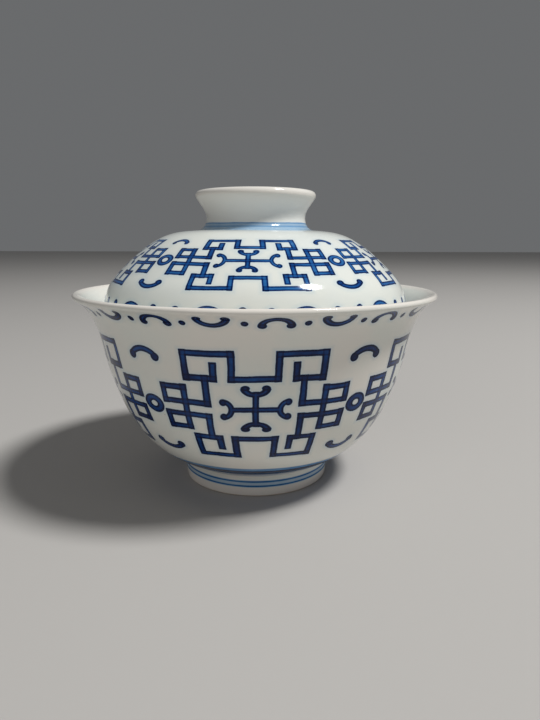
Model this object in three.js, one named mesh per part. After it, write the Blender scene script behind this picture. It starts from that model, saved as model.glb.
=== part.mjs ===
// A lidded tea bowl in two fired pieces: a flared bowl on a foot ring, and a domed lid with a ring
// grip, whose edge sits inside the bowl's mouth. Millimetres, z up, with the origin at the centre of
// the foot ring's underside. Outlines are drawn as radius and height, and turned about the z axis.
import * as THREE from 'three';

// Bowl
const rimDiameter = 104;        // over the lip
const bowlHeight = 56.3;        // table to the top of the lip
const lipThickness = 1.6;
const rimSlope = 27;            // degrees above level at which the flare meets the lip
const waistDiameter = 89.6;     // outside, where the wall stands steepest, under the flare
const waistHeight = 42.3;
const waistSlope = 79;          // degrees above level
const bowlWall = 2.2;
const floorThickness = 2.4;

// Foot ring
const footDiameter = 43.4;      // at the table
const footTaper = 0.5;          // how much further out its top stands than its base
const footHeight = 6.4;         // table to where the body springs from it
const footWall = 2.6;
const footHollow = 4.9;         // depth of the hollow inside the ring
const footEdge = 0.6;           // rounding of the ring's two lower edges
const bodySlope = 26;           // degrees above level at which the body leaves the ring

// Lid
const seatDepth = 7.5;          // top of the bowl's lip down to the middle of the lid's edge
const seatGap = 0.3;            // clearance between the lid's edge and the bowl's wall
const lidWall = 2.2;
const lidRise = 24.25;          // middle of the lid's edge up to the dome at the grip
const shoulderInset = 4.15;     // from the lid's widest line in to where its shoulder turns over
const shoulderRise = 11.85;     // middle of the lid's edge up to the same place
const shoulderSlope = 134;      // heading of the wall there, in degrees from outward level
const crownSlope = 176;         // heading of the dome where it reaches the grip

// Ring grip
const gripDiameter = 34.6;      // over its lip
const gripWaist = 28.6;         // outside, at its narrowest
const gripFlare = 2.6;          // how much further out its foot spreads than its waist
const gripWaistRise = 3.3;      // dome up to the waist
const gripHeight = 11.05;       // dome up to the top of the lip
const gripSlope = 64;           // degrees above level at which its wall meets the lip
const gripWall = 2.5;
const gripFillet = 1.2;         // rounding between the ring's wall and the floor inside it
const gripFloor = 0.5;          // dome up to the floor inside the ring

// How finely round walls and curved outlines are divided
const turnSteps = 40;
const longSteps = 9;
const shortSteps = 5;
const edgeSteps = 3;
const lipSteps = 6;
const closest = 0.01;           // points nearer than this are one point

function heading(degrees) {
  const angle = THREE.MathUtils.degToRad(degrees);
  return new THREE.Vector2(Math.cos(angle), Math.sin(angle));
}

function point(radius, height) {
  return new THREE.Vector2(radius, height);
}

// A curve between two points that leaves and arrives at the given headings. Each reach says how far
// its heading holds, as a share of the straight distance.
function bend(from, fromHeading, fromReach, to, toHeading, toReach) {
  const span = from.distanceTo(to);
  const leave = heading(fromHeading).multiplyScalar(span * fromReach).add(from);
  const arrive = heading(toHeading).multiplyScalar(-span * toReach).add(to);
  return new THREE.CubicBezierCurve(from, leave, arrive, to);
}

function arc(centre, radius, fromAngle, toAngle, steps) {
  const start = THREE.MathUtils.degToRad(fromAngle);
  const end = THREE.MathUtils.degToRad(toAngle);
  const clockwise = toAngle < fromAngle;
  return new THREE.EllipseCurve(centre.x, centre.y, radius, radius, start, end, clockwise).getPoints(steps);
}

// Points a given distance to the left of a curve, so inside the wall that the curve is the face of.
// The distance runs evenly from its first value to its last.
function inset(curve, steps, fromDistance, toDistance) {
  const line = [];
  for (let i = 0; i <= steps; i += 1) {
    const share = i / steps;
    const along = curve.getTangent(share);
    const inward = new THREE.Vector2(-along.y, along.x);
    const distance = THREE.MathUtils.lerp(fromDistance, toDistance, share);
    line.push(curve.getPoint(share).addScaledVector(inward, distance));
  }
  return line;
}

// Radius of a rising line of points at a given height
function radiusAt(line, height) {
  const above = line.findIndex((p) => p.y >= height);
  const low = line[above - 1];
  const high = line[above];
  return THREE.MathUtils.mapLinear(height, low.y, high.y, low.x, high.x);
}

// Turns an outline, without its repeated points, into a solid about the z axis
function turned(name, outline, material) {
  const profile = outline.filter((p, i) => i === 0 || p.distanceTo(outline[i - 1]) > closest);
  const geometry = new THREE.LatheGeometry(profile, turnSteps);
  geometry.rotateX(Math.PI / 2);
  const mesh = new THREE.Mesh(geometry, material);
  mesh.name = name;
  return mesh;
}

// The bowl's outer face, in two bends that share the waist
const lipRound = lipThickness / 2;
const lipCentre = point(rimDiameter / 2 - lipRound, bowlHeight - lipRound);
const footTop = point(footDiameter / 2 + footTaper, footHeight);
const waist = point(waistDiameter / 2, waistHeight);
const flareEnd = heading(rimSlope - 90).multiplyScalar(lipRound).add(lipCentre);
const belly = bend(footTop, bodySlope, 0.19, waist, waistSlope, 0.64);
const flare = bend(waist, waistSlope, 0.55, flareEnd, rimSlope, 0.21);

// The bowl's inner face, seen from the foot up, and the line that the middle of the lid's edge can
// follow while it keeps its clearance from that face
const innerBelly = inset(belly, longSteps, bowlWall, bowlWall);
const innerFlare = inset(flare, shortSteps, bowlWall, lipThickness);
const edgeRound = lidWall / 2;
const edgeReach = seatGap + edgeRound;
const seatLine = [
  ...inset(belly, longSteps, bowlWall + edgeReach, bowlWall + edgeReach),
  ...inset(flare, shortSteps, bowlWall + edgeReach, lipThickness + edgeReach),
];

function bowlOutline() {
  const footOuter = footDiameter / 2;
  const footInner = footOuter - footWall;
  const hollowCorner = point(footInner - footEdge, footHollow - footEdge);
  const floor = point(0, footHollow + floorThickness);
  return [
    point(0, footHollow),
    ...arc(hollowCorner, footEdge, 90, 0, edgeSteps),
    ...arc(point(footInner + footEdge, footEdge), footEdge, 180, 270, edgeSteps),
    ...arc(point(footOuter - footEdge, footEdge), footEdge, 270, 360, edgeSteps),
    ...belly.getPoints(longSteps),
    ...flare.getPoints(shortSteps),
    ...arc(lipCentre, lipRound, rimSlope - 90, rimSlope + 90, lipSteps),
    ...innerFlare.toReversed(),
    ...innerBelly.toReversed(),
    ...bend(innerBelly[0], bodySlope + 180, 0.15, floor, 180, 0.5).getPoints(edgeSteps),
  ];
}

function lidOutline() {
  const seatHeight = bowlHeight - seatDepth;
  const edgeCentre = point(radiusAt(seatLine, seatHeight), seatHeight);
  const widest = point(edgeCentre.x + edgeRound, seatHeight);
  const shoulder = point(widest.x - shoulderInset, seatHeight + shoulderRise);
  const gripFoot = point(gripWaist / 2 + gripFlare, seatHeight + lidRise);
  const gripNeck = point(gripWaist / 2, gripFoot.y + gripWaistRise);
  const gripRound = gripWall / 2;
  const gripLip = point(gripDiameter / 2 - gripRound, gripFoot.y + gripHeight - gripRound);
  const gripEnd = heading(gripSlope - 90).multiplyScalar(gripRound).add(gripLip);

  // Outer faces, from the edge up
  const side = bend(widest, 90, 0.2, shoulder, shoulderSlope, 0.4);
  const dome = bend(shoulder, shoulderSlope, 0.62, gripFoot, crownSlope, 0.28);
  const gripBase = bend(gripFoot, crownSlope, 0.3, gripNeck, 90, 0.5);
  const gripSide = bend(gripNeck, 90, 0.4, gripEnd, gripSlope, 0.3);

  // Inner faces, each followed back from its far end
  const gripInner = inset(gripSide, shortSteps, gripWall, gripWall).toReversed();
  const floorHeight = gripFoot.y + gripFloor;
  const floorCorner = point(gripInner.at(-1).x - gripFillet, floorHeight + gripFillet);
  const domeInner = inset(dome, longSteps, lidWall, lidWall);
  const ceiling = point(0, domeInner.at(-1).y + gripFloor);
  const vault = bend(ceiling, 0, 0.4, domeInner.at(-1), crownSlope - 180, 0.4);
  return [
    ...vault.getPoints(edgeSteps),
    ...domeInner.toReversed(),
    ...inset(side, edgeSteps, lidWall, lidWall).toReversed(),
    ...arc(edgeCentre, edgeRound, 180, 360, edgeSteps),
    ...side.getPoints(edgeSteps),
    ...dome.getPoints(longSteps),
    ...gripBase.getPoints(edgeSteps),
    ...gripSide.getPoints(shortSteps),
    ...arc(gripLip, gripRound, gripSlope - 90, gripSlope + 90, lipSteps),
    ...gripInner,
    ...arc(floorCorner, gripFillet, 0, -90, edgeSteps),
    point(0, floorHeight),
  ];
}

const bowlGlaze = new THREE.MeshStandardMaterial({ color: 0xd9dcd2, roughness: 0.12, metalness: 0 });
const lidGlaze = new THREE.MeshStandardMaterial({ color: 0xe1e5de, roughness: 0.1, metalness: 0 });

const gaiwan = new THREE.Group();
gaiwan.add(turned('bowl', bowlOutline(), bowlGlaze));
gaiwan.add(turned('lid', lidOutline(), lidGlaze));

export default gaiwan;
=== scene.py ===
import math
from functools import reduce

import bpy
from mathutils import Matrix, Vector, kdtree
from mathutils.geometry import interpolate_bezier


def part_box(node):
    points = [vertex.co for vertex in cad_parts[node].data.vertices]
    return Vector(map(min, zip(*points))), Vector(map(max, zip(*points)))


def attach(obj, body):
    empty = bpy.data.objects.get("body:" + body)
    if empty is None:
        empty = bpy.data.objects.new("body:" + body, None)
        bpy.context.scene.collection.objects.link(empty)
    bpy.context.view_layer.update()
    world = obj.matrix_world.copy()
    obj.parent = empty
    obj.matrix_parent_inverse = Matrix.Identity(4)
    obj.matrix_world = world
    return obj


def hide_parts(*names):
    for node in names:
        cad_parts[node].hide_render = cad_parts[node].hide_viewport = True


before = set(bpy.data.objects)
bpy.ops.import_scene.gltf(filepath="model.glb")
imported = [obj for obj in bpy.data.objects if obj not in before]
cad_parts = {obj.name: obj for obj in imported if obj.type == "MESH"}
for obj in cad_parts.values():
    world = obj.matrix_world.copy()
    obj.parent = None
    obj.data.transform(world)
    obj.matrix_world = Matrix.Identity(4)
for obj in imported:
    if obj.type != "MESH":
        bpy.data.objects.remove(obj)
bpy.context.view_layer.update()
bpy.ops.object.select_all(action="DESELECT")
print("frame loaded")

mm = 0.001  # outlines and brushwork are laid out in millimetres


# ---- outlines, drawn as radius and height

def towards(degrees):
    return Vector((math.cos(math.radians(degrees)), math.sin(math.radians(degrees))))


def stop(at, into, out=None, pull=(0.39, 0.39)):
    # a place on an outline, the headings it is reached and left at, and how long each of them holds
    return {"at": Vector(at), "into": into, "out": into if out is None else out, "pull": pull}


def roundLip(centre, radius, slope):
    # half a circle that a wall rising at this slope turns over into its other face
    return [
        stop(centre + towards(slope - 90) * radius, slope),
        stop(centre + towards(slope) * radius, slope + 90),
        stop(centre + towards(slope + 90) * radius, slope + 180),
    ]


def trace(stops, spacing):
    points = [stops[0]["at"]]
    for here, there in zip(stops, stops[1:]):
        span = (there["at"] - here["at"]).length
        leave = here["at"] + towards(here["out"]) * span * here["pull"][1]
        arrive = there["at"] - towards(there["into"]) * span * there["pull"][0]
        count = max(4, round(span / spacing)) + 1
        knots = [v.to_3d() for v in (here["at"], leave, arrive, there["at"])]
        points += [p.to_2d() for p in interpolate_bezier(*knots, count)[1:]]
    return points


def inFrom(stops, wall):
    # the same stops on the wall's inner face, followed back the other way
    inner = []
    for s in stops:
        at = s["at"] + towards(s["into"] + 90) * wall
        inner.append(stop(at, s["into"] + 180, pull=s["pull"][::-1]))
    return inner[::-1]


# ---- turning

def turnedPiece(name, outline, turns):
    # one vertex is extruded along the outline, and the line is spun about the axis
    bpy.ops.mesh.primitive_plane_add(size=mm, location=(0, 0, 0))
    piece = bpy.context.object
    piece.name = piece.data.name = name
    bpy.ops.object.mode_set(mode="EDIT")
    bpy.ops.mesh.merge(type="CENTER")
    bpy.ops.transform.translate(value=(outline[0].x * mm, 0, outline[0].y * mm))
    for here, there in zip(outline, outline[1:]):
        step = (there - here) * mm
        bpy.ops.mesh.extrude_vertices_move(TRANSFORM_OT_translate={"value": (step.x, 0, step.y)})
    bpy.ops.mesh.select_all(action="SELECT")
    bpy.ops.mesh.spin(steps=turns, angle=math.tau, center=(0, 0, 0), axis=(0, 0, 1))
    bpy.ops.mesh.select_all(action="SELECT")
    bpy.ops.mesh.remove_doubles(threshold=mm * 0.002)
    bpy.ops.mesh.normals_make_consistent(inside=False)
    bpy.ops.object.mode_set(mode="OBJECT")
    return piece


def lengthsAlong(outline):
    lengths = [0.0]
    for here, there in zip(outline, outline[1:]):
        lengths.append(lengths[-1] + (there - here).length)
    return lengths


def markRun(piece, outline, start, end):
    # every vertex keeps how far along the outline it lies, in millimetres past the start point
    lengths = lengthsAlong(outline)
    tree = kdtree.KDTree(len(outline))
    for i, p in enumerate(outline):
        tree.insert(p.to_3d(), i)
    tree.balance()

    def lengthAt(radius, height):
        return lengths[tree.find((radius, height, 0))[1]]

    zero = lengthAt(*start)
    run = piece.data.attributes.new("run", "FLOAT", "POINT")
    for vertex in piece.data.vertices:
        x, y, z = vertex.co / mm
        run.data[vertex.index].value = lengthAt(math.hypot(x, y), z) - zero
    layBakeMap(piece, -zero, 0.0, lengthAt(*end) - zero, lengths[-1] - zero)


def layBakeMap(piece, first, outerStart, outerEnd, last):
    # The outer face is laid out in four quarters, two by two. The inner faces lie in a row under them,
    # at a smaller scale, the part before the outer face first and then the part after it.
    s = {"innerScale": 0.4, "gap": 1.5}
    wide = max(v.co.x for v in piece.data.vertices) / mm * math.pi / 2
    tall = outerEnd - outerStart
    innerTall = s["innerScale"] * (last - first - tall)
    side = max(2 * (wide + s["gap"]), 2 * (tall + s["gap"]) + innerTall + s["gap"])
    run = piece.data.attributes["run"].data
    bake = piece.data.uv_layers.new(name="OFBake").data
    for face in piece.data.polygons:
        middle = math.degrees(math.atan2(face.center.y, face.center.x))
        quarter = round(middle / 90) % 4
        runs = [run[v].value for v in face.vertices]
        outer = outerStart - 0.001 <= min(runs) and max(runs) <= outerEnd + 0.001
        for corner, vertex, along in zip(face.loop_indices, face.vertices, runs):
            at = piece.data.vertices[vertex].co
            turned = math.degrees(math.atan2(at.y, at.x)) if at.xy.length > mm * 0.01 else middle
            across = ((turned - quarter * 90 + 180) % 360 - 180) / 90 + 0.5
            if outer:
                u = (quarter % 2 + across) * wide + (quarter % 2) * s["gap"]
                v = (quarter // 2) * (tall + s["gap"]) + along - outerStart
            else:
                past = along - first if max(runs) <= outerStart + 0.001 else along - first - tall
                u = (quarter + across) * wide * s["innerScale"] + quarter * s["gap"]
                v = 2 * (tall + s["gap"]) + past * s["innerScale"]
            bake[corner].uv = (u / side, 1 - v / side)


def finishPiece(piece, body, node, material):
    piece.data.materials.clear()
    piece.data.materials.append(material)
    bpy.ops.object.select_all(action="DESELECT")
    piece.select_set(True)
    bpy.context.view_layer.objects.active = piece
    bpy.ops.object.shade_smooth()
    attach(piece, body)
    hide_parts(node)
    piece.select_set(False)
    print(piece.name, "has", len(piece.data.polygons), "faces")


# ---- materials

class Wire:
    # the output of a shader node; sums on it add Math nodes
    def __init__(self, shader, socket):
        self.shader = shader
        self.socket = socket

    def maths(self, operation, *others):
        return self.shader.add("ShaderNodeMath", {"operation": operation}, dict(enumerate((self, *others))))

    def __add__(self, other):
        return self.maths("ADD", other)

    def __radd__(self, other):
        return self.maths("ADD", other)

    def __sub__(self, other):
        return self.maths("SUBTRACT", other)

    def __rsub__(self, other):
        return self.shader.add("ShaderNodeMath", {"operation": "SUBTRACT"}, {0: other, 1: self})

    def __mul__(self, other):
        return self.maths("MULTIPLY", other)

    def __rmul__(self, other):
        return self.maths("MULTIPLY", other)

    def __neg__(self):
        return self.maths("MULTIPLY", -1.0)

    def __abs__(self):
        return self.maths("ABSOLUTE")

    def root(self):
        return self.maths("SQRT")

    def sign(self):
        return self.maths("SIGN")

    def sine(self):
        return self.maths("SINE")

    def atLeast(self, other):
        return self.maths("MAXIMUM", other)

    def atMost(self, other):
        return self.maths("MINIMUM", other)

    def easedLeast(self, other, ease):
        return self.maths("SMOOTH_MAX", other, ease)

    def easedMost(self, other, ease):
        return self.maths("SMOOTH_MIN", other, ease)

    def folded(self, half):
        # wraps to between -half and half
        return self.maths("WRAP", half, -half)

    def fade(self, start, end):
        # 0 at the start value, 1 at the end value, eased between them
        return self.shader.add(
            "ShaderNodeMapRange",
            {"interpolation_type": "SMOOTHSTEP"},
            {"Value": self, "From Min": start, "From Max": end},
        )


class Shader:
    def __init__(self, name):
        self.material = bpy.data.materials.new(name)
        self.material.use_nodes = True
        self.tree = self.material.node_tree
        self.tree.nodes.clear()

    def add(self, kind, settings=None, inputs=None, output=0):
        made = self.tree.nodes.new(kind)
        for key, value in (settings or {}).items():
            if key == "stops":
                ramp = made.color_ramp
                while len(ramp.elements) < len(value):
                    ramp.elements.new(1.0)
                for element, (position, colour) in zip(ramp.elements, value):
                    element.position = position
                    element.color = (*colour, 1.0)
            else:
                setattr(made, key, value)
        for key, value in (inputs or {}).items():
            if isinstance(value, Wire):
                self.tree.links.new(value.socket, made.inputs[key])
            else:
                made.inputs[key].default_value = value
        return Wire(self, made.outputs[output])

    def noise(self, place, size, detail=2.0, output=0):
        # cloudy noise whose lumps are this many millimetres across
        return self.add(
            "ShaderNodeTexNoise",
            None,
            {"Vector": place, "Scale": 1 / (size * mm), "Detail": detail, "Roughness": 0.55},
            output,
        )

    def split(self, vector):
        return [self.add("ShaderNodeSeparateXYZ", None, {0: vector}, i) for i in range(3)]

    def mixColour(self, factor, a, b, blend="MIX"):
        sides = {0: factor, 6: a, 7: b}
        return self.add("ShaderNodeMix", {"data_type": "RGBA", "blend_type": blend}, sides, 2)

    def finish(self, surface):
        result = self.tree.nodes.new("ShaderNodeOutputMaterial")
        self.tree.links.new(surface.socket, result.inputs["Surface"])
        return self.material


# ---- brushwork: each stroke is the distance in millimetres outside its painted edge

brush = {
    "medallions": 5,
    "cornerEase": 0.3,  # how much a square corner is softened
    "joinEase": 0.3,  # how much two straight strokes flow together
    "curlEase": 0.2,  # how much a curl flows into the stroke it ends
    "tuck": 0.2,  # how far a crescent's two end dabs are drawn together, as a part of the dab
    "droop": 0.15,  # how far they hang past its ends
    "lineFade": 0.3,  # where the drawn edge is full, as a part of its width
    "crossingLine": 0.12,  # how much of the drawn edge shows where two strokes cross
    "dabFade": (0.1, -0.5),
    "hazeReach": 1.3,  # how far the blue spreads into the glaze
    "curlWidth": 0.4,  # how much a curl's width varies, as a part of a straight stroke's
}


def nearest(strokes):
    return reduce(lambda a, b: a.atMost(b), strokes)


def bar(across, down, scale, degrees, heights, half):
    # a straight stroke with square ends; its middle line spans these degrees and these heights
    middle, reach = sum(degrees) / 2, abs(degrees[1] - degrees[0]) / 2
    level, drop = sum(heights) / 2, abs(heights[1] - heights[0]) / 2
    sideways = (abs(across - middle) - reach) * scale if reach else abs(across - middle) * scale
    endways = abs(down - level) - drop if drop else abs(down - level)
    return sideways.easedLeast(endways, brush["cornerEase"]) - half


def crescent(sideways, outward, radius, spread, half, dabRadius):
    # an arc about a centre, its back facing outward, with a round dab at both ends
    opening = math.cos(math.radians(spread))
    reach = (sideways * sideways + outward * outward).root()
    arc = (abs(reach - radius) - half).atLeast(reach * opening - outward)
    endSide = abs(sideways) - (radius - dabRadius * brush["tuck"]) * math.sin(math.radians(spread))
    endOut = outward - radius * opening + dabRadius * brush["droop"]
    dab = (endSide * endSide + endOut * endOut).root() - dabRadius
    return arc.atMost(dab), dab


def evened(angle, s):
    # the medallions stand a little apart at the front and back, and closer together at the sides
    angle = angle - s["turn"]
    return angle - (angle * math.radians(2)).sine() * s["uneven"]


def fretwork(angle, run, scale, s):
    # one quarter of the medallion; folding the surface about its two middle lines gives the rest
    step = 180.0 / brush["medallions"]
    across = evened(angle, s).folded(step)
    down = run - s["middle"]
    side = abs(across)
    rise = abs(down) + (-down).atLeast(0.0) * s["squeeze"]
    w, u = s["halfLevel"], s["halfUpright"]
    level = [
        bar(side, rise, scale, (0, s["stepAt"]), (s["dip"], s["dip"]), w),
        bar(side, rise, scale, (s["stepAt"], s["cornerAt"]), (s["top"], s["top"]), w),
        bar(side, rise, scale, (s["hookAt"], s["cornerAt"]), (s["hookFoot"], s["hookFoot"]), w),
        bar(side, rise, scale, (s["linkAt"], s["farAt"]), (s["link"], s["link"]), w),
        bar(side, rise, scale, (s["spineAt"], s["farAt"]), (s["square"], s["square"]), w),
    ]
    upright = [
        bar(side, rise, scale, (s["stepAt"],) * 2, (s["dip"], s["top"]), u),
        bar(side, rise, scale, (s["cornerAt"],) * 2, (s["hookFoot"], s["top"]), u),
        bar(side, rise, scale, (s["hookAt"],) * 2, (s["hookFoot"], s["hookTip"]), u),
        bar(side, rise, scale, (s["linkAt"],) * 2, (s["link"], s["hookFoot"]), u),
        bar(side, rise, scale, (s["farAt"],) * 2, (s["link"], s["square"]), u),
        bar(side, rise, scale, (s["spineAt"],) * 2, (0, s["square"]), u),
    ]
    # the cross in the middle, with a curl on each of its four ends
    crossSide = abs(across - s["crossTurn"])
    crossRise = abs(down + s["crossLift"])
    level.append(bar(crossSide, crossRise, scale, (0, s["beam"]), (0, 0), s["beamHalf"]))
    upright.append(bar(crossSide, crossRise, scale, (0, 0), (0, s["post"]), s["postHalf"]))
    head = crescent(
        crossSide * scale * s["headFlat"], s["headCentre"] - crossRise,
        s["headRadius"], s["headSpread"], s["headHalf"], s["headDab"],
    )
    arm = crescent(
        crossRise, (s["armCentre"] - crossSide) * scale,
        s["armRadius"], s["armSpread"], s["armHalf"], s["armDab"],
    )
    # the ring between two medallions, and the crescents over and under it
    toRing = side - step
    cornerScale = s["cornerScale"] - down.sign() * s["cornerWiden"]
    corner = crescent(
        toRing * cornerScale, rise - s["cornerCentre"],
        s["cornerRadius"], s["cornerSpread"], w, s["cornerDab"],
    )
    flat = toRing * scale * s["ringFlat"]
    ring = abs((flat * flat + rise * rise).root() - s["ringRadius"]) - s["ringHalf"]
    curls = nearest([head[0], arm[0], corner[0], ring])
    dabs = nearest([head[1], arm[1], corner[1]])
    return nearest(level), nearest(upright), curls, dabs


def border(angle, run, scale, s):
    # crescents that open up and down in turn, with a dot between each two
    half = 180.0 / s["pairs"]
    fold = half / 2 - abs((angle - s["turn"]).folded(half))
    sideways = (half / 2 - abs(fold)) * scale
    outward = (s["middle"] - run) * fold.sign()
    arc, dab = crescent(
        sideways * s["flat"], outward + s["lift"],
        s["radius"], s["spread"], s["half"], s["dab"],
    )
    gap = fold * scale
    level = run - s["middle"] - s["dotDrop"]
    dot = (gap * gap + level * level).root() - s["dot"]
    return arc.atMost(dot), dab.atMost(dot)


def painted(shape, wash, s):
    # a stroke's pigment: a wash inside a darker drawn edge
    cover = shape.fade(s["soft"], -s["soft"])
    edge = shape.fade(-s["edge"], -s["edge"] * brush["lineFade"])
    return cover * (edge * s["line"] + wash)


def fretPigment(strokes, width, wash, s):
    # strokes that meet share one drawn edge, and the pigment lies a little deeper where two cross
    level, upright, curls, dabs = strokes
    level = level + width
    upright = upright + width
    joined = level.easedMost(upright, brush["joinEase"]).easedMost(curls, brush["curlEase"])
    crossing = level.fade(s["soft"], -s["soft"]) * upright.fade(s["soft"], -s["soft"])
    inside = level.atLeast(upright).fade(-s["edge"], 0.0)
    pooled = dabs.fade(*brush["dabFade"]) * s["pooled"]
    haze = joined.fade(brush["hazeReach"], 0.0) * s["haze"]
    crossed = crossing * (inside * brush["crossingLine"] + s["crossing"])
    return painted(joined, wash, s) + crossed + pooled + haze


def brushwork(at, wash, width, fret, edging, glaze):
    level, upright, curls, dabs = fretwork(at["angle"], at["run"], at["scale"], fret)
    rim, rimDabs = border(at["angle"], at["run"], at["scale"], edging)
    curls = curls.atMost(rim) + width * brush["curlWidth"]
    strokes = (level, upright, curls, dabs.atMost(rimDabs))
    return fretPigment(strokes, width * glaze["barWidth"], wash, glaze)


def band(place, low, high, soft):
    return place.fade(low - soft, low + soft) * place.fade(high + soft, high - soft)


# ---- glaze

# the sizes of what varies over the glaze, in millimetres across, and the share that each has
variation = {
    "drift": 13.0, "shake": 1.6, "load": 6.0, "grains": 0.5, "cloud": 22.0,
    "specks": 8.0, "speckEdge": (0.03, 0.012), "speckPick": (0.22, 0.18), "speckDepth": 0.5,
    "ripple": 5.0, "rings": 3.0, "rippleShare": 0.6, "ringShare": 0.4,
    "clay": 0.5, "clayRough": 0.5, "clayHeight": 2.0, "claySoft": 0.12,
    "cloudRough": 0.05, "warmSoft": 0.5, "bump": 0.3, "specular": 0.22,
}


def glazedMaterial(name, s, paint):
    v = variation
    shader = Shader(name)
    place = shader.add("ShaderNodeTexCoord", None, None, 3)
    x, y, z = [axis * (1 / mm) for axis in shader.split(place)]
    run = shader.add("ShaderNodeAttribute", {"attribute_name": "run"}, None, 2)
    radius = (x * x + y * y).root()
    angle = x.maths("ARCTAN2", -y) * math.degrees(1)
    scale = radius * math.radians(1)  # millimetres to a degree

    # the hand that holds the brush: strokes drift slowly, and their edges shake a little
    drift = shader.split(shader.noise(place, v["drift"], 1.0, output=1))
    shake = shader.split(shader.noise(place, v["shake"], 2.0, output=1))
    down = (drift[0] - 0.5) * s["drift"] + (shake[0] - 0.5) * s["shake"]
    across = (drift[1] - 0.5) * s["drift"] + (shake[1] - 0.5) * s["shake"]
    width = (drift[2] - 0.5) * s["pressure"] + (shake[2] - 0.5) * s["shake"]
    handAngle = angle + across * (math.degrees(1) / s["meanRadius"])

    # how much cobalt the brush leaves: clouds along the strokes, and fine grains
    load = shader.noise(place, v["load"], 3.0)
    grains = shader.noise(place, v["grains"], 2.0)
    wash = (load - 0.5) * s["washSpread"] + (grains - 0.5) * s["grainSpread"] + s["wash"]
    at = {"angle": handAngle, "run": run + down, "height": z, "radius": radius, "scale": scale}
    pigment = paint(at, wash, width)

    # glaze: nearly white, cooler where it lies thick, warm where it runs thin over a lip, warmer too over
    # the bowl foot's lower edge, and on the lid grip's wall below its lip a warm painted reflection
    cloud = shader.noise(place, v["cloud"], 3.0)
    body = shader.mixColour(cloud.fade(0.3, 0.7), s["glazeWarm"], s["glazeCool"])
    warmGlazeAndReflection = [band(z, low, high, v["warmSoft"]) * amount for low, high, amount in s["warmGlazeAndReflectionBands"]]
    body = shader.mixColour(reduce(lambda a, b: a.atLeast(b), warmGlazeAndReflection), body, s["warmColour"])
    cells = {"Vector": place, "Scale": 1 / (v["specks"] * mm)}
    speckGap = shader.add("ShaderNodeTexVoronoi", None, cells)
    speckPick = shader.split(shader.add("ShaderNodeTexVoronoi", None, cells, 1))[0]
    speck = speckGap.fade(*v["speckEdge"]) * speckPick.fade(*v["speckPick"])
    body = shader.mixColour(speck * v["speckDepth"], body, s["speckColour"])
    tint = shader.add("ShaderNodeValToRGB", {"stops": cobaltStops}, {0: pigment})
    colour = shader.mixColour(1.0, body, tint, "MULTIPLY")

    # the surface: a slow ripple in the glaze, rings from the wheel, and bare grainy clay on the foot's edge
    ripple = shader.noise(place, v["ripple"], 2.0)
    along = shader.add("ShaderNodeCombineXYZ", None, {2: run * mm})
    rings = shader.noise(along, v["rings"], 1.0)
    height = ripple * v["rippleShare"] + rings * v["ringShare"]
    roughness = cloud * v["cloudRough"] + s["roughness"]
    if s["bareBelow"]:
        bare = z.fade(s["bareBelow"] + v["claySoft"], s["bareBelow"] - v["claySoft"])
        grain = shader.noise(place, v["clay"], 3.0)
        clay = shader.mixColour(grain, s["clayLight"], s["clayDark"])
        colour = shader.mixColour(bare, colour, clay)
        roughness = roughness + bare * v["clayRough"]
        height = height + bare * grain * v["clayHeight"]
    relief = {"Strength": v["bump"], "Distance": s["ripple"] * mm, "Height": height}
    surface = shader.add(
        "ShaderNodeBsdfPrincipled",
        None,
        {
            "Base Color": colour,
            "Roughness": roughness,
            "IOR": 1.5,
            "Specular IOR Level": v["specular"],
            "Normal": shader.add("ShaderNodeBump", None, relief),
        },
    )
    return shader.finish(surface)


# what the glaze's colour is multiplied by, from no cobalt to the thickest
cobaltStops = [
    (0.0, (1.0, 1.0, 1.0)),
    (0.08, (0.70, 0.82, 0.93)),
    (0.22, (0.30, 0.51, 0.80)),
    (0.42, (0.038, 0.20, 0.55)),
    (0.60, (0.006, 0.078, 0.33)),
    (0.78, (0.004, 0.026, 0.15)),
    (1.0, (0.001, 0.006, 0.045)),
]

# ---- bowl

bowlShape = {
    "lipRound": 0.8,
    "rimSlope": 27,
    "waist": (44.8, 42.3),
    "waistSlope": 79,
    "wall": 2.2,
    "floor": 7.3,
    "hollow": 4.9,
    "footOuter": 21.7,
    "footWall": 2.6,
    "footEdge": 0.6,
    "footNeck": (22.15, 5.8),
    "bodyStart": (22.95, 6.75),
    "bodySlope": 27,
    "spacing": 1.1,
    "turns": 160,
}

bowlFret = {
    "middle": 27.45, "turn": -0.45, "uneven": 0.3, "squeeze": 0.0, "halfLevel": 0.82, "halfUpright": 0.88,
    "dip": 8.5, "top": 14.7, "stepAt": 7.0, "cornerAt": 21.0,
    "hookAt": 12.4, "hookFoot": 8.4, "hookTip": 11.7,
    "linkAt": 15.1, "link": 1.78, "spineAt": 22.7, "farAt": 30.3, "square": 5.65,
    "crossTurn": 0.3, "crossLift": 0.35,
    "post": 4.2, "postHalf": 0.748, "beam": 7.7, "beamHalf": 0.697,
    "headCentre": 5.9, "headRadius": 1.85, "headSpread": 84, "headFlat": 0.7,
    "headHalf": 0.656, "headDab": 0.722,
    "armCentre": 10.7, "armRadius": 2.25, "armSpread": 78, "armHalf": 0.697, "armDab": 0.95,
    "cornerScale": 0.68, "cornerWiden": 0.05, "cornerCentre": 9.8, "cornerRadius": 4.8,
    "cornerSpread": 49, "cornerDab": 1.16,
    "ringFlat": 0.84, "ringRadius": 1.75, "ringHalf": 0.92,
}

bowlBorder = {
    "pairs": 11, "turn": 5.3, "middle": 3.85, "lift": 1.5, "radius": 2.7, "spread": 80, "flat": 0.78,
    "half": 0.66, "dab": 0.8, "dot": 0.8, "dotDrop": 0.5,
}

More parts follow.
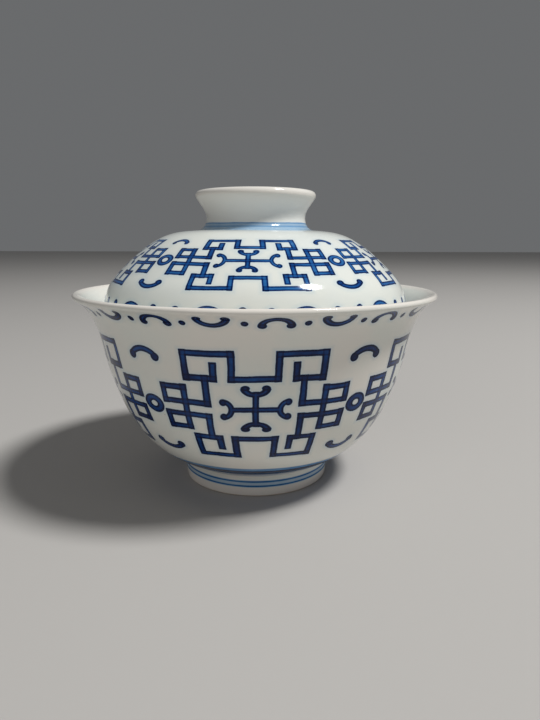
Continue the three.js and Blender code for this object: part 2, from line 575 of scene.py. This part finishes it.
bowlGlaze = {
    "meanRadius": 43.0, "drift": 0.8, "shake": 0.14, "pressure": 0.3,
    "wash": 0.65, "washSpread": 0.6, "grainSpread": 0.15, "line": 0.42,
    "soft": 0.09, "edge": 0.62, "crossing": 0.06, "pooled": 0.12, "haze": 0.04, "barWidth": 1.0,
    "glazeWarm": (0.83, 0.795, 0.735, 1), "glazeCool": (0.785, 0.80, 0.745, 1),
    # warm where the glaze runs thin over the lip, and warmer over the foot's lower edge
    "warmGlazeAndReflectionBands": [(-1.0, 2.6, 0.6), (55.6, 57.5, 0.6)], "warmColour": (0.83, 0.76, 0.70, 1),
    "speckColour": (0.23, 0.19, 0.15, 1),
    "bareBelow": 0.4, "clayLight": (0.76, 0.68, 0.60, 1), "clayDark": (0.66, 0.56, 0.47, 1),
    "roughness": 0.07, "ripple": 0.05,
    # the band above the foot: cobalt wash, deepened by painted shade of the body's underside over the
    # crease at the foot
    "junction": (6.6, 11.0), "junctionFade": (7.6, 9.4), "junctionThin": 0.5, "junctionDeep": 0.45,
    "bodyWash": (10.4, 12.2), "bodyWashDepth": 0.31,
    "footLines": (4.6, 3.15), "footLineHalf": 0.24, "footLineDepth": 0.42, "footWashDepth": 0.14,
    "extraLoad": 0.35, "outsideRun": (30.0, 32.0), "outsideRadius": (20.0, 20.6),
}


def bowlOutline():
    s = bowlShape
    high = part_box("bowl")[1]
    lipCentre = Vector((high.x / mm - s["lipRound"], high.z / mm - s["lipRound"]))
    lip = roundLip(lipCentre, s["lipRound"], s["rimSlope"])
    lip[0]["pull"] = (0.21, 0.39)
    lip[2]["pull"] = (0.39, 0.21)
    body = stop(s["bodyStart"], s["bodySlope"], pull=(0.39, 0.19))
    waist = stop(s["waist"], s["waistSlope"], pull=(0.64, 0.55))
    footInner = s["footOuter"] - s["footWall"]
    edge = s["footEdge"]
    under = [
        stop((0, s["hollow"]), 0),
        stop((footInner - edge, s["hollow"]), 0),
        stop((footInner, s["hollow"] - edge), -90),
        stop((footInner, edge), -90),
        stop((footInner + edge, 0), 0),
        stop((s["footOuter"] - edge, 0), 0),
        stop((s["footOuter"], edge), 88, 85),
        stop(s["footNeck"], 85),
    ]
    inner = inFrom([body, waist], s["wall"])
    inner[1]["pull"] = (0.19, 0.15)
    floor = stop((0, s["floor"]), 180, pull=(0.5, 0.5))
    return trace([*under, body, waist, *lip, *inner, floor], s["spacing"]), lip[1]["at"]


def bowlPaint(at, wash, width):
    s = bowlGlaze
    z = at["height"]
    # the lines at the foot stay off the inside and the hollow underneath
    outside = at["run"].fade(*s["outsideRun"]) * at["radius"].fade(*s["outsideRadius"])
    # cobalt wash above the foot, with painted shade of the crease added, deepest in the band's upper part
    depth = z.fade(*s["junctionFade"]) * s["junctionDeep"] + s["junctionThin"]
    junctionWashAndShade = band(z, *s["junction"], 0.15) * depth
    pale = band(z, *s["bodyWash"], 0.2) * s["bodyWashDepth"]
    upper, lower = [band(z, h - s["footLineHalf"], h + s["footLineHalf"], 0.2) for h in s["footLines"]]
    between = band(z, s["footLines"][1], s["footLines"][0], 0.15) * s["footWashDepth"]
    foot = junctionWashAndShade.atLeast(pale) + (upper + lower) * s["footLineDepth"] + between
    pigment = brushwork(at, wash, width, bowlFret, bowlBorder, s)
    return pigment + foot * outside * (wash + s["extraLoad"])


outline, lipPoint = bowlOutline()
bowlBody = turnedPiece("bowl_porcelain", outline, bowlShape["turns"])
contact = (bowlShape["footOuter"] - bowlShape["footEdge"], 0)
markRun(bowlBody, outline[::-1], lipPoint, contact)
bowlMaterial = glazedMaterial("bowl_painted_glaze", bowlGlaze, bowlPaint)
finishPiece(bowlBody, "bowl", "bowl", bowlMaterial)

# ---- lid

lidShape = {
    "edgeRound": 1.1,
    "wall": 2.2,
    "rise": 24.25,
    "shoulderInset": 4.15,
    "shoulderRise": 11.85,
    "shoulderSlope": 134,
    "crownSlope": 176,
    "gripWaist": 14.3,
    "gripFlare": 2.6,
    "gripWaistRise": 3.3,
    "gripRadius": 17.3,
    "gripSlope": 64,
    "gripWall": 2.5,
    "gripFillet": 1.2,
    "gripFloor": 0.5,
    "spacing": 1.0,
    "turns": 160,
}

lidFret = {
    "middle": 20.15, "turn": -2.7, "uneven": 1.0, "squeeze": 0.09, "halfLevel": 0.60, "halfUpright": 0.70,
    "dip": 5.4, "top": 8.4, "stepAt": 5.5, "cornerAt": 19.1,
    "hookAt": 12.5, "hookFoot": 4.85, "hookTip": 6.7,
    "linkAt": 15.7, "link": 1.2, "spineAt": 23.75, "farAt": 30.35, "square": 4.1,
    "crossTurn": -0.5, "crossLift": 0.15,
    "post": 2.2, "postHalf": 0.63, "beam": 8.6, "beamHalf": 0.54,
    "headCentre": 3.55, "headRadius": 1.45, "headSpread": 80, "headFlat": 0.75,
    "headHalf": 0.48, "headDab": 0.532,
    "armCentre": 12.1, "armRadius": 2.0, "armSpread": 75, "armHalf": 0.51, "armDab": 0.7,
    "cornerScale": 0.56, "cornerWiden": 0.02, "cornerCentre": 5.3, "cornerRadius": 3.3,
    "cornerSpread": 50, "cornerDab": 0.8,
    "ringFlat": 0.8, "ringRadius": 1.4, "ringHalf": 0.64,
}

lidBorder = {
    "pairs": 12, "turn": 15.3, "middle": 34.9, "lift": 1.3, "radius": 2.7, "spread": 80, "flat": 0.78,
    "half": 0.65, "dab": 0.8, "dot": 0.75, "dotDrop": 0.4,
}

lidGlaze = {
    "meanRadius": 34.0, "drift": 0.6, "shake": 0.12, "pressure": 0.22,
    "wash": 0.48, "washSpread": 0.55, "grainSpread": 0.12, "line": 0.38,
    "soft": 0.08, "edge": 0.5, "crossing": 0.06, "pooled": 0.1, "haze": 0.035, "barWidth": 0.8,
    "glazeWarm": (0.80, 0.81, 0.755, 1), "glazeCool": (0.765, 0.795, 0.765, 1),
    # warm where the glaze runs thin over the grip's lip; the warm tint on the grip's wall below it is a
    # painted reflection
    "warmGlazeAndReflectionBands": [(82.2, 85.0, 0.6), (74.0, 82.2, 0.35)], "warmColour": (0.83, 0.76, 0.70, 1),
    "speckColour": (0.23, 0.19, 0.15, 1),
    "bareBelow": None, "roughness": 0.07, "ripple": 0.05,
    # the wash round the grip's foot, and the lines in it: start, end, softness and depth of each
    "gripBands": [
        (-3.2, 1.9, 0.15, 0.2), (-3.2, -2.85, 0.12, 0.16),
        (-2.2, -1.7, 0.15, 0.12), (1.6, 1.9, 0.12, 0.06),
    ],
    "extraLoad": 0.4,
}


def lidOutline():
    s = lidShape
    low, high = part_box("lid")
    widest = high.x / mm
    seat = low.z / mm + s["edgeRound"]
    edgeCentre = Vector((widest - s["edgeRound"], seat))
    edgeOut = stop((widest, seat), 90, pull=(0.39, 0.2))
    shoulderAt = (widest - s["shoulderInset"], seat + s["shoulderRise"])
    shoulder = stop(shoulderAt, s["shoulderSlope"], pull=(0.4, 0.62))
    gripFoot = stop((s["gripWaist"] + s["gripFlare"], seat + s["rise"]), s["crownSlope"], pull=(0.28, 0.3))
    waist = stop((s["gripWaist"], gripFoot["at"].y + s["gripWaistRise"]), 90, pull=(0.5, 0.4))
    gripRound = s["gripWall"] / 2
    lipCentre = Vector((s["gripRadius"] - gripRound, high.z / mm - gripRound))
    lip = roundLip(lipCentre, gripRound, s["gripSlope"])
    lip[0]["pull"] = (0.3, 0.39)
    lip[2]["pull"] = (0.39, 0.3)
    inside = inFrom([edgeOut, shoulder, gripFoot], s["wall"])
    inside[0]["pull"] = (0.4, 0.28)
    crown = stop((0, inside[0]["at"].y + s["gripFloor"]), 0, pull=(0.4, 0.4))
    waistInner = stop((s["gripWaist"] - s["gripWall"], waist["at"].y), 270, pull=(0.4, 0.39))
    floor = gripFoot["at"].y + s["gripFloor"]
    fillet = [
        stop((waistInner["at"].x, floor + s["gripFillet"]), 270),
        stop((waistInner["at"].x - s["gripFillet"], floor), 180),
    ]
    # out under the dome from the crown to the edge, then back over it and up to the grip
    edge = stop(edgeCentre + Vector((0, -s["edgeRound"])), 0)
    under = [crown, *inside, edge]
    over = [edgeOut, shoulder, gripFoot, waist, *lip]
    recess = [waistInner, *fillet, stop((0, floor), 180)]
    return trace(under + over + recess, s["spacing"]), gripFoot["at"], edge["at"]


def lidPaint(at, wash, width):
    s = lidGlaze
    bands = [band(at["run"], low, high, soft) * depth for low, high, soft, depth in s["gripBands"]]
    pigment = brushwork(at, wash, width, lidFret, lidBorder, s)
    return pigment + reduce(lambda a, b: a + b, bands) * (wash + s["extraLoad"])


outline, gripPoint, edgePoint = lidOutline()
lidBody = turnedPiece("lid_porcelain", outline, lidShape["turns"])
markRun(lidBody, outline[::-1], gripPoint, edgePoint)
lidMaterial = glazedMaterial("lid_painted_glaze", lidGlaze, lidPaint)
finishPiece(lidBody, "lid", "lid", lidMaterial)

# ---- floor, light and camera

studio = {
    "floorSize": 8.0,
    "floorColour": (0.50, 0.478, 0.458, 1),
    "floorRoughness": 0.8,
    "keyTowards": (0.475, -0.185, 0.87),
    "keyAway": 1.6,
    "keySize": 0.33,
    "keyPower": 23.5,
    "keyColour": (0.985, 0.995, 0.985),
    "fillPlace": (-0.8, -1.5, 0.8),
    "fillSize": 1.4,
    "fillPower": 3.2,
    "fillColour": (1.0, 0.985, 0.96),
    "sky": 0.15,
    "skyColour": (0.95, 0.975, 1.0, 1),
    "aim": (0, 0, 0.045),
}


def aimedLight(name, place, s):
    light = bpy.data.lights.new(name, "AREA")
    light.shape = "DISK"
    light.size = s[name + "Size"]
    light.energy = s[name + "Power"]
    light.color = s[name + "Colour"]
    lamp = bpy.data.objects.new(name, light)
    bpy.context.scene.collection.objects.link(lamp)
    lamp.location = place
    lamp.rotation_euler = (Vector(s["aim"]) - Vector(place)).to_track_quat("-Z", "Y").to_euler()


def makeFloor():
    bpy.ops.mesh.primitive_plane_add(size=studio["floorSize"], location=(0, 0, 0))
    floor = bpy.context.object
    floor.name = "studio_floor"
    shader = Shader("pale_floor")
    look = {"Base Color": studio["floorColour"], "Roughness": studio["floorRoughness"]}
    surface = shader.add("ShaderNodeBsdfPrincipled", None, look)
    floor.data.materials.append(shader.finish(surface))


makeFloor()
keyPlace = Vector(studio["aim"]) + Vector(studio["keyTowards"]).normalized() * studio["keyAway"]
aimedLight("key", keyPlace, studio)
aimedLight("fill", studio["fillPlace"], studio)

world = bpy.data.worlds.new("studio")
bpy.context.scene.world = world
world.use_nodes = True
background = world.node_tree.nodes["Background"]
background.inputs["Color"].default_value = studio["skyColour"]
background.inputs["Strength"].default_value = studio["sky"]
bpy.context.scene.view_settings.view_transform = "Standard"

view = {
    "place": (0, -0.1682, 0.0700),
    "pitch": 11.87,
    "yaw": 1.44,
    "roll": 0.15,
    "lens": 28.1,
    "sensor": 36.0,
    "reach": (0.01, 20),
}
cameraData = bpy.data.cameras.new("camera")
cameraData.lens = view["lens"]
cameraData.sensor_width = view["sensor"]
cameraData.clip_start, cameraData.clip_end = view["reach"]
camera = bpy.data.objects.new("camera", cameraData)
bpy.context.scene.collection.objects.link(camera)
camera.location = view["place"]
camera.rotation_euler = (math.radians(90 - view["pitch"]), 0, math.radians(-view["yaw"]))
camera.rotation_euler.rotate_axis("Z", math.radians(view["roll"]))
bpy.context.scene.camera = camera
print("studio ready")
